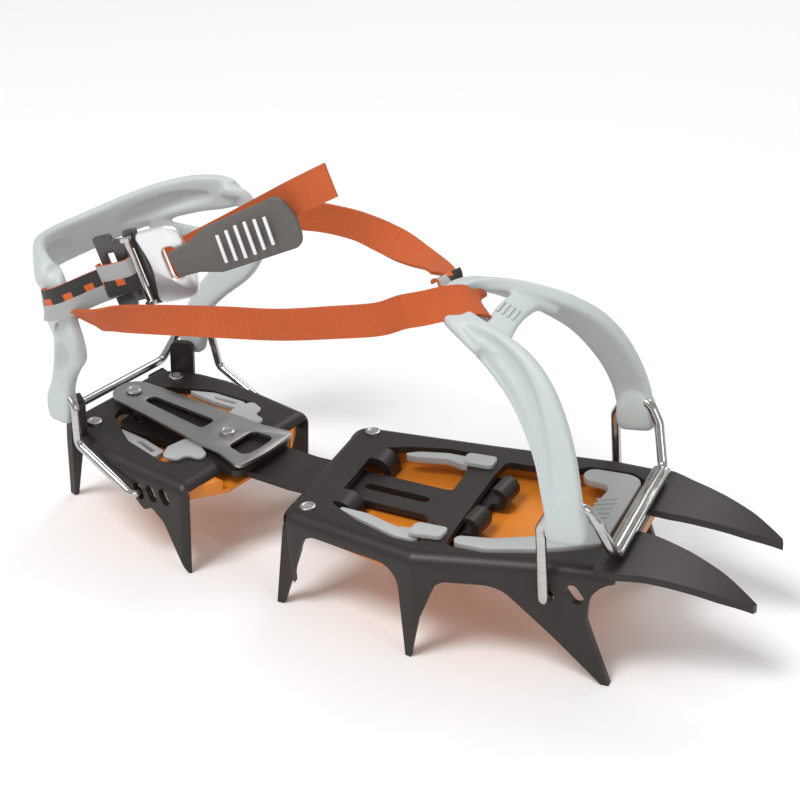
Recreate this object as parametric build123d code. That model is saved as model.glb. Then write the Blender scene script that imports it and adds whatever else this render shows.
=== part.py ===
"""Strap-on crampon with twelve points, for one boot.

Millimetres, +Z up, +X to the toe, +Y to the left.  The origin lies on top of the front plate, midway
between its two rear rivets.  The front section is pitched nose-up by a few degrees, and the heel
section is pitched and yawed on the linking bar, so each section is drawn in a local frame of its own
and placed once, at the end.
"""
import os
from math import atan2, cos, degrees, radians, sin, tan

from build123d import *

# ---------------------------------------------------------------- driving dimensions
STEEL = 3.2                      # thickness of both stamped frames
BEND = 6.0                       # outside radius of the folded sides
POINT_DEPTH = 48.0               # plate top down to the ground at the rear rivets
FRONT_PITCH = -3.0               # nose-up pitch of the front section, degrees
HEEL_PITCH = 2.0                 # nose-down pitch of the heel section, degrees
HEEL_YAW = -14.0                 # yaw of the heel section, degrees
HEEL_ORIGIN = (-116.0, 20.1, 0.4)
BAR_YAW = -6.0                   # yaw of the linking bar in the front section, degrees

# front frame, plan outline (x, y, corner radius); the right side bulges past the left
FRONT_OUTLINE = [(-11, -42, 8), (56, -57, 6), (115, -46, 40), (150, -42, 0),
                 (150, 45, 0), (114, 47.5, 40), (57, 44.5, 30), (-11, 42.5, 8)]
FRONT_POINT_TIP = (192.2, 25.3)  # tip of a front point, x and half-spread y
FRONT_POINT_DROP = 126.0         # radius of the downward curve of the front points
FRONT_RIVET_Y = 35.0
RIVET_HEAD = 6.8
TOE_SLOT = (110.8, -13.0)        # x, z of the wire slot in the side of the front frame
TOE_SLOT_PITCH = 12.0
SLOT_WIDE = 5.2
SLOT_LONG = 9.5

# linking bar
BAR_TOP = -5.6                   # below the top of the front plate
BAR_THICK = 3.0
BAR_WIDE = 27.0
BAR_NECK = 22.5
BAR_TAIL = 24.0                  # width of the rear stretch, inside the heel section
BAR_REAR_X = -116.0              # rear end of the bar, along its own axis
BAR_BEND_X = -20.0               # the bar bends here, from the front pitch to the heel pitch
BAR_HOLE_PITCH = 8.0

# toe bail
TOE_WIRE = 4.4
TOE_FOOT = (120.8, 48.3, 22.0)
TOE_CROSSBAR = (136.5, 36.2, 4.6)

# heel frame, plan outline in its own frame
HEEL_OUTLINE = [(-14, -31, 5), (4, -41, 12), (22, -45, 30), (71.5, -44, 4),
                (71.5, 44, 4), (22, 45, 30), (4, 41, 12), (-14, 31, 5)]
HEEL_RIVET_Y = 27.6
HEEL_SLOT = (43.5, -11.5)
HEEL_SLOT_PITCH = 7.6
LEAF_THICK = 1.8
LEAF_RIVET_X = -1.2
LEAF_STUD_X = 57.4
LEAF_FRONT_X = 81.0
LEAF_BOTTOM = 2.0                # underside of the leaf above the heel plate

# heel bail
HEEL_WIRE = 4.0
HEEL_FOOT = (-4.0, 43.4, 17.0)

# strap
STRAP_WIDE = 14.0
STRAP_THICK = 1.6

FRONT = Location((0, 0, 0), (0, FRONT_PITCH, 0))
HEEL = Location(HEEL_ORIGIN, (0, 0, HEEL_YAW)) * Location((0, 0, 0), (0, HEEL_PITCH, 0))
BAR = FRONT * Location((0, -0.25, 0), (0, 0, BAR_YAW))


# ---------------------------------------------------------------- shape helpers
def rounded(points):
    """A closed flat face from (u, v, corner radius) points; the radius may be left out."""
    corners = [(Vector(p[0], p[1]), p[2] if len(p) > 2 else 0.0) for p in points]
    stops = []
    for i, (corner, radius) in enumerate(corners):
        before = (corners[i - 1][0] - corner).normalized()
        after = (corners[(i + 1) % len(corners)][0] - corner).normalized()
        if radius == 0:
            stops.append((corner, None, corner))
            continue
        half = radians(before.get_angle(after)) / 2
        reach = radius / tan(half)
        middle = (before + after).normalized()
        dip = radius / sin(half) - radius
        stops.append((corner + before * reach, corner + middle * dip, corner + after * reach))
    edges = []
    for i, (start, middle, end) in enumerate(stops):
        if middle is not None:
            edges.append(ThreePointArc(start, middle, end))
        following = stops[(i + 1) % len(stops)][0]
        if (following - end).length > 1e-6:
            edges.append(Line(end, following))
    return make_face(edges)


def slab(points, top, thick):
    """A flat plate with the given plan outline, its top at height top."""
    return Pos(0, 0, top - thick) * extrude(rounded(points), amount=thick, dir=(0, 0, 1))


def side_prism(points, y_low, y_high):
    """A solid with the given side outline (x, z, radius), between two heights across."""
    face = Plane((0, y_high, 0), x_dir=(1, 0, 0), z_dir=(0, -1, 0)) * rounded(points)
    return extrude(face, amount=y_high - y_low, dir=(0, -1, 0))


def cross_prism(points, x_low, x_high):
    """A solid with the given end outline (y, z, radius), between two stations along."""
    face = Plane((x_low, 0, 0), x_dir=(0, 1, 0), z_dir=(1, 0, 0)) * rounded(points)
    return extrude(face, amount=x_high - x_low, dir=(1, 0, 0))


def folded_plate(outline, depth):
    """A plate whose whole edge is folded down with a round bend, like a lid."""
    outer = extrude(rounded(outline), amount=depth, dir=(0, 0, -1))
    outer = fillet(outer.faces().sort_by(Axis.Z)[-1].edges(), BEND)
    shrunk = offset(rounded(outline), amount=-STEEL)
    inner = Pos(0, 0, -STEEL) * extrude(shrunk, amount=depth, dir=(0, 0, -1))
    inner = fillet(inner.faces().sort_by(Axis.Z)[-1].edges(), BEND - STEEL)
    return outer - inner


def tube(points, radius, thickness):
    """A round wire along a polyline with its corners rounded to the given bend radius."""
    corners = [Vector(*p) for p in points]
    edges = []
    cursor = corners[0]
    for i in range(1, len(corners) - 1):
        corner = corners[i]
        before = (corners[i - 1] - corner).normalized()
        after = (corners[i + 1] - corner).normalized()
        half = radians(before.get_angle(after)) / 2
        reach = min(radius / tan(half), 0.45 * (corner - corners[i - 1]).length,
                    0.45 * (corners[i + 1] - corner).length)
        bend = reach * tan(half)
        dip = bend / sin(half) - bend
        middle = corner + (before + after).normalized() * dip
        edges.append(Line(cursor, corner + before * reach))
        edges.append(ThreePointArc(corner + before * reach, middle, corner + after * reach))
        cursor = corner + after * reach
    edges.append(Line(cursor, corners[-1]))
    path = Wire(edges)
    return sweep(Plane(path @ 0, z_dir=path % 0) * Circle(thickness / 2), path=path)


def slot_cutter(x, z, angle, wide, long):
    """A slanted slot through both sides of a frame."""
    face = Plane((x, 0, z), x_dir=(cos(radians(angle)), 0, sin(radians(angle))),
                 z_dir=(0, -1, 0)) * SlotOverall(long, wide)
    return extrude(face, amount=80, both=True)


def above_ground(shape, place):
    """The shape, drawn in a section's own frame, with what is below the ground cut off."""
    return shape - place.inverse() * Pos(0, 0, -POINT_DEPTH - 50) * Box(900, 400, 100)


def mirrored(shape):
    """The shape and its mirror image across the section's centre plane."""
    return shape + mirror(shape, about=Plane.XZ)


def rivet(x, y, top, head, shank, length):
    """A rivet with a low domed head, standing on a plate."""
    body = Pos(x, y, top + 0.35) * Cylinder(head / 2, 0.7)
    body = chamfer(body.faces().sort_by(Axis.Z)[-1].edges(), 0.4)
    return body + Pos(x, y, top - length / 2) * Cylinder(shank / 2, length)


def band(points, wide, thick):
    """A strap: a strip on edge along plan points (x, y, z of its middle)."""
    spans = []
    for start, end in zip(points, points[1:]):
        a, b = Vector(*start), Vector(*end)
        run = b - a
        heading = degrees(atan2(run.Y, run.X))
        flat = (run.X ** 2 + run.Y ** 2) ** 0.5
        pitch = -degrees(atan2(run.Z, flat))
        middle = Location(tuple((a + b) * 0.5), (0, 0, heading)) * Location((0, 0, 0), (0, pitch, 0))
        spans.append(middle * Box(run.length + thick * 0.9, thick, wide))
    body = spans[0]
    for span in spans[1:]:
        body = body + span
    return body


def save(name, shape):
    """Write one node; every piece in it stays a solid of its own."""
    solids = shape.solids()
    export_step(solids[0] if len(solids) == 1 else Compound(children=list(solids)),
                f"parts/{name}.step")


# ---------------------------------------------------------------- front section
def front_frame():
    """Folded plate with three pairs of down points and two curved front points."""
    far_below = -75
    body = folded_plate(FRONT_OUTLINE, 62)
    tip = -POINT_DEPTH
    # the rear wall stays only at the corners
    body -= Pos(-11, 0, -35) * Box(20, 62, 68)
    body -= cross_prism([(-60, -8), (-39, -20), (-39, far_below), (-60, far_below)], -30, -7)
    body -= cross_prism([(30.9, 1), (30.9, far_below), (39.8, far_below), (39.8, -20), (35, -8)],
                        -30, -7.8)
    body -= cross_prism([(-30.9, 1), (-35, -8), (-39, -20), (-39, far_below), (-30.9, far_below)],
                        -30, -7.8)
    # gaps between the points, drawn from the side
    gaps = [
        [(-10.5, far_below), (-10.5, tip + 1), (-2.5, -20), (3, -7.5, 8), (44, -8, 9),
         (49.5, -14, 10), (51.4, tip - 2), (51.4, far_below)],
        [(54, far_below), (54, tip - 2), (58, -32), (66.5, -11.5, 7), (92, -11.5, 16),
         (106, -26, 30), (135, tip - 8.6), (135, far_below)],
        [(137.2, far_below), (137.2, tip - 8.6), (127.3, -25, 8), (129, -6, 14), (145, -4.6),
         (170, -4.6), (170, far_below)],
    ]
    for gap in gaps:
        body -= side_prism(gap, -80, 80)
    body -= Pos(150, 0, 0) * Box(22, 120, 200)
    # rear points lean back past the corner
    blade = [(-9.3, -7), (-15.4, tip + 0.6), (-12.2, tip + 0.6), (-2.5, -20), (0, -9)]
    body += side_prism(blade, -41.9, -41.9 + STEEL)
    body += side_prism(blade, 42.3 - STEEL, 42.3)
    # front points: a curved slab trimmed to the plan of one point, then mirrored
    curved = curved_slab(132.0, FRONT_POINT_DROP, 35.0)
    tip_x, tip_y = FRONT_POINT_TIP
    plan = [(130, 10), (138, 9, 4), (146, 9.2, 10), (162, 12.5, 30), (178, 17, 40),
            (tip_x, tip_y - 1.2), (tip_x - 0.8, tip_y + 1.4), (178, 33, 40), (164, 36.5, 30),
            (150, 39.5, 20), (140, 43, 4), (130, 43)]
    points = curved & (Pos(0, 0, -60) * extrude(rounded(plan), amount=70, dir=(0, 0, 1)))
    body += points + mirror(points, about=Plane.XZ)
    # openings in the flat plate; the strip between them carries the bar's end
    rear_opening = [(8, -28, 5), (24, -38, 12), (44, -46, 14), (56, -46.5, 4), (58, -31, 3),
                    (54, -27, 3), (54, 17, 3), (57, 31, 3), (40, 31.5, 12), (20, 27.5, 10),
                    (8, 22, 5)]
    front_opening = [(67, -44.5, 3), (84, -45, 14), (104, -39, 16), (131, -26, 7), (132, 30, 7),
                     (124, 35.5, 6), (103, 35.5, 8), (98, 29, 8), (68, 28, 3), (66.5, 14, 3),
                     (66.5, -36, 3)]
    for opening in (rear_opening, front_opening):
        body -= slab(opening, 5, 12)
    # bar guides: two tongues of the rear strip curled down beside the bar
    for y_low, y_high in ((-26.5, -15.5), (13.0, 24.0)):
        body += curled_tongue(y_low, y_high)
    # rivet holes, wire slots and the relief holes at the rear corners
    for y in (-FRONT_RIVET_Y, FRONT_RIVET_Y):
        body -= Pos(0, y, 0) * Cylinder(2.4, 20)
    for k in range(2):
        body -= slot_cutter(TOE_SLOT[0] + TOE_SLOT_PITCH * k, TOE_SLOT[1] + 0.6 * k, -58,
                            SLOT_WIDE, SLOT_LONG)
    for side in (-1, 1):
        relief = Location((-8, side * 39.5, -4.5), (0, 0, side * 45)) * Location((0, 0, 0), (90, 0, 90))
        body -= relief * Cylinder(2.2, 16)
    return above_ground(body, FRONT)


def curved_slab(start_x, radius, sweep_angle):
    """A sheet that runs flat to start_x and then curves down on a round arc."""
    def on_arc(reach, share):
        turn = radians(sweep_angle * share)
        return (start_x + reach * sin(turn), 0, -radius + reach * cos(turn))

    inner = radius - STEEL
    upper = ThreePointArc(on_arc(radius, 0), on_arc(radius, 0.5), on_arc(radius, 1))
    lower = ThreePointArc(on_arc(inner, 1), on_arc(inner, 0.5), on_arc(inner, 0))
    back = [(start_x, 0, -STEEL), (start_x - 8, 0, -STEEL), (start_x - 8, 0, 0), (start_x, 0, 0)]
    face = make_face([upper, Line(upper @ 1, lower @ 0), lower, Polyline(*back)])
    return extrude(face, amount=60, both=True)


def curled_tongue(y_low, y_high):
    """A tongue that runs forward from the rear strip and curls down."""
    start, radius = 6.0, 8.0
    side = [(start, 0), (start + 4, 0), (start + 4 + radius, 0, radius - 0.5),
            (start + 4 + radius, -10.5), (start + 4 + radius - STEEL, -10.5),
            (start + 4 + radius - STEEL, -STEEL, radius - STEEL - 0.6), (start, -STEEL)]
    return side_prism(side, y_low, y_high)


def linking_bar():
    """Slotted bar with adjustment holes and a hooked T end, in the bar's own frame."""
    half, neck, tail = BAR_WIDE / 2, BAR_NECK / 2, BAR_TAIL / 2
    plan = [(BAR_BEND_X, -half), (-10, -half, 4), (-4, -neck, 4), (50, -neck, 5), (54, -23, 3),
            (70, -23, 3), (70, 30, 3), (54, 30, 3), (50, neck, 5), (-4, neck, 4), (-10, half, 4),
            (BAR_BEND_X, half)]
    body = slab(plan, BAR_TOP, BAR_THICK)
    body -= Pos(28, 0, BAR_TOP) * extrude(SlotOverall(32, 4.6), amount=12, both=True)
    rear_plan = [(BAR_REAR_X, -tail, 7), (-80, -tail, 20), (-70, -half, 20),
                 (BAR_BEND_X + 0.4, -half), (BAR_BEND_X + 0.4, half), (-70, half, 20),
                 (-80, tail, 20), (BAR_REAR_X, tail, 7)]
    rear = slab(rear_plan, BAR_TOP, BAR_THICK)
    stud_x, stud_y = stud_on_bar()
    for k in range(-2, 7):
        rear -= Pos(stud_x - BAR_HOLE_PITCH * k, stud_y, BAR_TOP) * Box(5.6, 6.6, 20)
    turn = Pos(BAR_BEND_X, 0, BAR_TOP) * Location((0, 0, 0), (0, HEEL_PITCH - FRONT_PITCH, 0))
    body += turn * Pos(-BAR_BEND_X, 0, -BAR_TOP) * rear
    for y_low, y_high in ((-17.5, -5.5), (9.0, 22.0)):
        body += hook(y_low, y_high)
    return body


def stud_on_bar():
    """Where the adjuster stud stands, in the bar's own frame."""
    stud = BAR.inverse() * HEEL * Pos(LEAF_STUD_X, 0, BAR_TOP)
    return stud.position.X, stud.position.Y


def hook(y_low, y_high):
    """The rolled front lip of the bar's T end."""
    centre_x, centre_z, radius = 72.0, BAR_TOP + 2.2, 5.2
    outer = [(centre_x + radius * cos(radians(a)), centre_z + radius * sin(radians(a)))
             for a in (-90, 10, 110)]
    inner = [(centre_x + (radius - BAR_THICK) * cos(radians(a)),
              centre_z + (radius - BAR_THICK) * sin(radians(a))) for a in (110, 10, -90)]
    lines = [ThreePointArc(*outer), Line(outer[2], inner[0]), ThreePointArc(*inner),
             Line(inner[2], (66, inner[2][1])), Line((66, inner[2][1]), (66, outer[0][1])),
             Line((66, outer[0][1]), outer[0])]
    face = Plane((0, y_high, 0), x_dir=(1, 0, 0), z_dir=(0, -1, 0)) * make_face(lines)
    return extrude(face, amount=y_high - y_low, dir=(0, -1, 0))


def front_snow_plate():
    """Orange tray under the front frame: a floor with a raised rim, notched for the bar's T."""
    rim = [(-4, -35, 6), (40, -49, 10), (56, -51.5, 6), (70, -49, 8), (112, -40.5, 20),
           (136, -30, 8), (137, 34, 8), (112, 42, 20), (57, 39.5, 20), (-4, 37, 6)]
    well = [(0, -30, 5), (22, -37, 12), (44, -44.5, 12), (60, -47.5, 5), (84, -43.5, 14),
            (104, -37, 16), (130, -25, 7), (131, 30, 7), (110, 37.5, 12), (57, 35.5, 12),
            (20, 30, 10), (0, 28, 5)]
    floor_top, floor_bottom, rim_top = -10.5, -13.0, -STEEL - 0.4
    body = slab(rim, rim_top, rim_top - floor_bottom)
    body -= slab(well, rim_top + 1, rim_top + 1 - floor_top)
    body -= Pos(0, 2, -6) * Box(26, 33, 9)
    for x, y in ((17.5, -21), (17.5, 18.5)):
        body -= Pos(x, y, -5.4) * Box(10, 14, 11)
    for y in (-FRONT_RIVET_Y, FRONT_RIVET_Y):
        body -= Pos(0, y, -5) * Cylinder(2.3, 30)
    return body


def front_snow_nose():
    """Grey U-shaped moulding at the front of the tray."""
    outer = [(69, -42, 3), (84, -42.5, 14), (103, -36.5, 16), (128.5, -24, 6), (129.5, 31, 7),
             (122, 33.5, 6), (104, 33.5, 5), (103, 24, 5), (118, 22, 5), (113, -16, 5),
             (100, -27, 10), (84, -34, 12), (69, -36.5, 3)]
    return slab(outer, 0.6, 3.6)


def front_snow_clip(side):
    """Grey pointed moulding beside the rear opening, with its lip over the cross strip."""
    if side < 0:
        outer = [(7.5, -28.5, 1), (24, -35.5, 12), (44, -43.5, 12), (54, -44, 3), (54, -34, 3),
                 (42, -36.5, 4), (26, -30.5, 12)]
        lip = [(50, -43.5, 2), (64, -42, 2), (65, -34.5, 2), (50, -34, 3)]
    else:
        outer = [(20, 22, 1), (27, 26, 10), (40, 28.6, 12), (52.5, 28, 2), (52.5, 20, 2),
                 (42, 23.5, 4), (26, 21, 12)]
        lip = [(50, 27.5, 2), (64, 27.5, 2), (64, 19, 2), (50, 19, 3)]
    body = slab(outer, -0.6, 3.0)
    return body + slab(lip, 2.1, 1.9) + slab(lip_root(lip), 1.0, 3.0)


def lip_root(lip):
    """The part of a lip that stands in the opening, behind the cross strip."""
    return [(min(x, 52.5), y * 0.985, 0) for x, y, _ in lip]


# ---------------------------------------------------------------- toe bail
def toe_bail_wire(thickness):
    """Round wire from slot to slot through both harness feet, with a flattened crossbar."""
    x, z = TOE_SLOT
    foot_x, foot_y, foot_z = TOE_FOOT
    cross_x, cross_y, cross_z = TOE_CROSSBAR
    half = [(x + 0.8, 42.8, z - 1.6), (x + 0.8, 51.4, z - 1.6), (x, 50.6, foot_z - 2),
            (foot_x - 5, foot_y + 0.8, foot_z + 7.5), (foot_x + 7, foot_y - 2.5, foot_z + 8),
            (foot_x + 11.5, foot_y - 4.5, foot_z), (cross_x, cross_y, cross_z)]
    other = [(px, -py, pz) for px, py, pz in reversed(half)]
    body = tube(half + other, 5.0, thickness)
    return body + Pos(cross_x, 0, cross_z) * soft_box(7.4, 2 * cross_y - 3, 2.9, Axis.Y, 0.9)


def toe_harness():
    """Flexible arch: two legs that lean back into a strap ring, joined by a cross-piece."""
    line = [(120.8, 48.8, 19), (118.8, 48.3, 35), (115, 43.8, 49), (110, 39.5, 61),
            (103.5, 35, 71), (95, 30, 78), (84, 25, 84), (72, 20, 88.3), (59, 12.5, 92)]
    wides = [14.5, 15, 15.5, 15.5, 15.5, 15, 14, 12, 10]
    body = None
    for k in range(len(line) - 1):
        a, b = Vector(*line[k]), Vector(*line[k + 1])
        piece = link(a, b, wides[k], wides[k + 1], 6.0)
        body = piece if body is None else body + piece
    body = mirrored(body)
    rear = Location((57.5, 0, 92.5), (0, 14, 0)) * soft_box(9, 31, 6, Axis.Z, 4)
    cross = Location((80.5, 0, 85.2), (0, 28, 0)) * Box(13, 48, 5)
    foot = Pos(TOE_FOOT[0] + 1, TOE_FOOT[1] + 0.3, TOE_FOOT[2] + 2) * soft_box(16, 10, 20, Axis.Y, 5)
    wire = toe_bail_wire(TOE_WIRE + 0.1)
    return body + rear + cross + mirrored(foot) - wire


def soft_box(long, wide, tall, axis, radius):
    """A box whose edges along one axis are rounded."""
    box = Box(long, wide, tall)
    return fillet(box.edges().filter_by(axis), radius)


def link(a, b, wide_a, wide_b, thick):
    """A tapered bar between two points, wide along X and thick across, rounded at both ends."""
    run = b - a
    faces = []
    for centre, wide in ((a - run.normalized() * 0.8, wide_a), (b + run.normalized() * 0.8, wide_b)):
        across = Vector(1, 0, 0) - run.normalized() * run.normalized().X
        plane = Plane(centre, x_dir=across.normalized(), z_dir=run.normalized())
        faces.append(plane * RectangleRounded(wide, thick, 2.2))
    return loft(faces)


# ---------------------------------------------------------------- heel section
def heel_frame():
    """Folded plate with two pairs of down points, two heel stops and wire slots."""
    far_below = -75
    body = folded_plate(HEEL_OUTLINE, 60)
    tip_rear, tip_front = -50.0, -45.9
    # open the rear and the front for the bar, and leave the rear corners for the points
    body -= Pos(-14, 0, -38.2) * Box(24, 45, 70)
    body -= Pos(72, 0, -38.2) * Box(12, 82, 70)
    # side gaps: shallow side wall, then the front point
    gap = [(-40, far_below), (-40, -4.5), (24, -4.5, 10), (40, -15, 4), (46.5, -20.5, 2),
           (51, -17.5, 2), (58, -22.5, 4), (71, tip_front), (71, far_below)]
    body -= side_prism(gap, -80, 80)
    front_gap = [(73.4, far_below), (73.4, tip_front), (76, -10), (76, 5), (90, 5), (90, far_below)]
    body -= side_prism(front_gap, -80, 80)
    body -= Pos(90, 0, 0) * Box(28, 120, 100)
    # rear points: narrow blades at the rear corners, across the section's axis
    blade = [(22.6, -2), (32.4, -2), (31, -14), (25.4, tip_rear), (22.9, tip_rear), (22.6, -18)]
    for side in (-1, 1):
        outline = [(side * y, z) for y, z in blade]
        flat = cross_prism(outline, -STEEL, 0)
        body += Pos(-10.8, 0, 0) * flat.rotate(Axis((0, 0, -3), (0, 1, 0)), 10)
    # heel stops: upright tabs at the rear corners, turned with the corner
    for side in (-1, 1):
        tab = Pos(0, 0, 9) * Box(STEEL, 11.4, 18)
        tab = fillet(tab.edges().filter_by(Axis.X).group_by(Axis.Z)[-1], 3)
        root = Pos(1.4, 0, 2 - STEEL / 2) * Box(STEEL + 2.8, 11.4, STEEL)
        body += Location((-2.0, side * 34.6, -2.0), (0, 0, -side * 61)) * (tab + root)
    # openings either side of the leaf, and the front tongue that the leaf lies over
    opening = [(-1.5, 7, 4), (3, 18, 8), (22, 29.5, 12), (50, 33.5, 6), (56, 20, 5), (46, 12.5, 6),
               (14, 10, 6)]
    for side in (-1, 1):
        body -= slab([(x, side * y, r) for x, y, r in opening], 5, 12)
    body += slab([(66, -19, 0), (80, -19, 4), (80, 19, 4), (66, 19, 0)], 0, STEEL)
    body -= Pos(LEAF_STUD_X, 0, 0) * Box(13, 13, 12)
    for y in (-HEEL_RIVET_Y, HEEL_RIVET_Y):
        body -= Pos(0, y, 0) * Cylinder(2.4, 20)
    body -= Pos(LEAF_RIVET_X, 0, 0) * Cylinder(2.6, 20)
    for k in range(3):
        body -= slot_cutter(HEEL_SLOT[0] + HEEL_SLOT_PITCH * k, HEEL_SLOT[1] + 1.2 * k, -62, 4.6, 8.6)
    return above_ground(body, HEEL)


def heel_snow_plate():
    """Orange tray under the heel frame, open in the middle for the bar."""
    rim = [(-8, -25, 5), (6, -35, 8), (22, -39, 12), (66, -39.3, 5), (73, -28, 6), (77, -21, 3),
           (77, 21, 3), (73, 28, 6), (66, 39.3, 5), (22, 39, 12), (6, 35, 8), (-8, 25, 5)]
    rim_top, floor_top, floor_bottom = -STEEL - 0.4, -8.6, -10.6
    body = slab(rim, rim_top, rim_top - floor_bottom)
    channel = rim_top + 1.4 - floor_top
    body -= Pos(36, 0, floor_top + channel / 2) * Box(130, 47, channel)
    for y in (-HEEL_RIVET_Y, HEEL_RIVET_Y):
        body -= Pos(0, y, -5) * Cylinder(2.3, 30)
    return body


def heel_snow_bridge():
    """Grey moulding whose prongs stand in the openings on both sides of the leaf."""
    prongs = [(44, 13.5, 2), (52, 13, 2), (60, 17, 3), (62, 22, 3), (54, 23.5, 3), (53.5, 29, 3),
              (46, 31.5, 3), (42.5, 24, 3)]
    root = [(45, 15, 2), (50.5, 16, 2), (50.5, 27, 2), (46, 28, 2)]
    return mirrored(slab(prongs, 1.7, 1.6) + slab(root, 1.7, 4.6))


def heel_snow_inlay(side):
    """Grey pointed moulding at the outer edge of one opening, with a window."""
    outline = [(12, side * 23, 0.5), (24, side * 29.5, 8), (41.5, side * 32, 2),
               (41.5, side * 25, 2), (28, side * 23, 8)]
    window = [(25, side * 26.4, 0.4), (38, side * 29.5, 0.8), (38, side * 27, 0.8),
              (28, side * 25.2, 0.8)]
    return slab(outline, -0.8, 2.6) - slab(window, 2, 8)


def adjuster_leaf():
    """Steel spring leaf: round rear end, tapered slot, fishtail front with a finger hole."""
    plan = [(-10.5, -9.5, 9.3), (10, -11.5, 12), (50, -14.5, 10), (66, -15.5, 12), (78, -18.8, 3),
            (LEAF_FRONT_X, -18, 2.5), (LEAF_FRONT_X + 2, 0, 60), (LEAF_FRONT_X, 18, 2.5),
            (78, 18.8, 3), (66, 15.5, 12), (50, 14.5, 10), (10, 11.5, 12), (-10.5, 9.5, 9.3)]
    body = slab(plan, LEAF_BOTTOM + LEAF_THICK, LEAF_THICK)
    slot = [(8, -3, 2.9), (46, -4.8, 2.5), (46, 4.8, 2.5), (8, 3, 2.9)]
    window = [(65.5, -8.5, 3), (77, -10.5, 3.5), (78, 0, 40), (77, 10.5, 3.5), (65.5, 8.5, 3)]
    body -= slab(slot, LEAF_BOTTOM + 5, 8)
    body -= slab(window, LEAF_BOTTOM + 5, 8)
    body -= Pos(LEAF_RIVET_X, 0, 3) * Cylinder(3.0, 10)
    return body - Pos(LEAF_STUD_X, 0, 3) * Cylinder(2.5, 10)


def adjuster_rivet():
    """Rivet that holds the leaf; its head stays clear of the leaf so that the leaf can lift."""
    top = LEAF_BOTTOM + LEAF_THICK + 0.5
    body = rivet(LEAF_RIVET_X, 0, top, RIVET_HEAD + 0.4, 5.2, top + STEEL)
    return body + Pos(LEAF_RIVET_X, 0, (LEAF_BOTTOM - 0.7) / 2) * Cylinder(4.5, LEAF_BOTTOM - 0.7)


def adjuster_stud():
    """Stud riveted in the leaf; its square nose drops in a hole of the bar."""
    body = rivet(LEAF_STUD_X, 0, LEAF_BOTTOM + LEAF_THICK, RIVET_HEAD, 4.8, LEAF_THICK)
    return body + Pos(LEAF_STUD_X, 0, (LEAF_BOTTOM + BAR_TOP - 2.2) / 2) * Box(
        4.2, 4.2, LEAF_BOTTOM - BAR_TOP + 2.2)


# ---------------------------------------------------------------- heel bail
def heel_bail_wire(thickness):
    """Round wire from slot to slot through both feet, straight behind the plate."""
    x, z = HEEL_SLOT
    foot_x, foot_y, foot_z = HEEL_FOOT
    half = [(x, 41.2, z - 0.6), (x, 48.4, z - 0.6), (foot_x + 14, 47.6, 1.5),
            (foot_x + 11, 45.5, foot_z + 2), (foot_x + 4, foot_y + 0.6, foot_z + 7),
            (foot_x - 4, foot_y - 0.2, foot_z + 5), (foot_x - 8, foot_y - 3, foot_z - 4),
            (foot_x - 11.5, foot_y - 9, 1.5)]
    other = [(px, -py, pz) for px, py, pz in reversed(half)]
    return tube(half + other, 4.5, thickness)


def heel_harness():
    """Flexible ring round the boot's heel: two legs, two struts for the strap, upper ring."""
    leg = [(-3, 43.6, 17), (0, 44.5, 30), (10, 50, 45), (20, 57, 57), (23.5, 60, 66)]
    strut = [(23.5, 60, 66), (22.5, 60.5, 78), (17, 60.5, 88), (9, 57, 93)]
    ring = [(9, 57, 90), (-4, 49, 88), (-15, 37, 85), (-22, 22, 82), (-25, 7, 80), (-25, -1, 80)]
    body = None
    for line, wide, thick in ((leg, 14, 6.0), (strut, 8, 5.2)):
        for k in range(len(line) - 1):
            a, b = Vector(*line[k]), Vector(*line[k + 1])
            piece = link(a, b, wide + 0.2 * k, wide - 0.5 + 0.2 * k, thick + 0.1 * k)
            body = piece if body is None else body + piece
    for k in range(len(ring) - 1):
        body = body + ring_link(Vector(*ring[k]), Vector(*ring[k + 1]), 17 + 0.2 * k, 4.6 + 0.1 * k)
    lower = [(22, 59, 63), (8, 55, 66), (-8, 44, 70), (-17, 32, 74)]
    for k in range(len(lower) - 1):
        body = body + ring_link(Vector(*lower[k]), Vector(*lower[k + 1]), 7 + 0.2 * k, 4.2 + 0.1 * k)
    foot = soft_box(15, 7.6, 19, Axis.Y, 5)
    body = mirrored(body + Pos(HEEL_FOOT[0], HEEL_FOOT[1] + 0.4, HEEL_FOOT[2] + 3) * foot)
    return body - heel_bail_wire(HEEL_WIRE + 0.1)


def ring_link(a, b, tall, thick):
    """A straight stretch of an upright ring, tall in Z and thick across."""
    run = (b - a).normalized()
    upright = (Vector(0, 0, 1) - run * run.Z).normalized()
    faces = [Plane(c, x_dir=upright, z_dir=run) * RectangleRounded(tall, thick, 1.8)
             for c in (a - run * 1.0, b + run * 1.0)]
    return loft(faces)


# ---------------------------------------------------------------- strap and buckle
def heel_point(x, y, z):
    """A point of the heel section's frame, in the common frame."""
    placed = HEEL * Pos(x, y, z)
    return tuple(placed.position)


def front_point(x, y, z):
    """A point of the front section's frame, in the common frame."""
    placed = FRONT * Pos(x, y, z)
    return tuple(placed.position)


STRAP_RUNS = {
    "strap_right_strand": [heel_point(29, -63.5, 74), (-60, -49, 80), (-10, -36, 85),
                           (32, -25, 90), front_point(55, -20, 95)],
    "strap_left_strand": [heel_point(29, 62.5, 78), (-40, 60, 90), (0, 42, 95), (32, 27, 96),
                          front_point(53, 20, 96)],
    "strap_toe_loop": [front_point(49.5, -14, 92), front_point(49.5, 14, 92)],
    "strap_heel_wrap": [heel_point(16.5, -67, 78), heel_point(30, -67, 78)],
    "strap_anchor": [heel_point(34, -60.5, 91), heel_point(34.6, -56.5, 92.5)],
    "strap_cross": [heel_point(33, 56, 82), heel_point(44, 10, 92), heel_point(52, -24, 95)],
    "strap_tail": [heel_point(62, -23, 100), heel_point(92, -19, 123.5), heel_point(131, -18, 155)],
}

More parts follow.
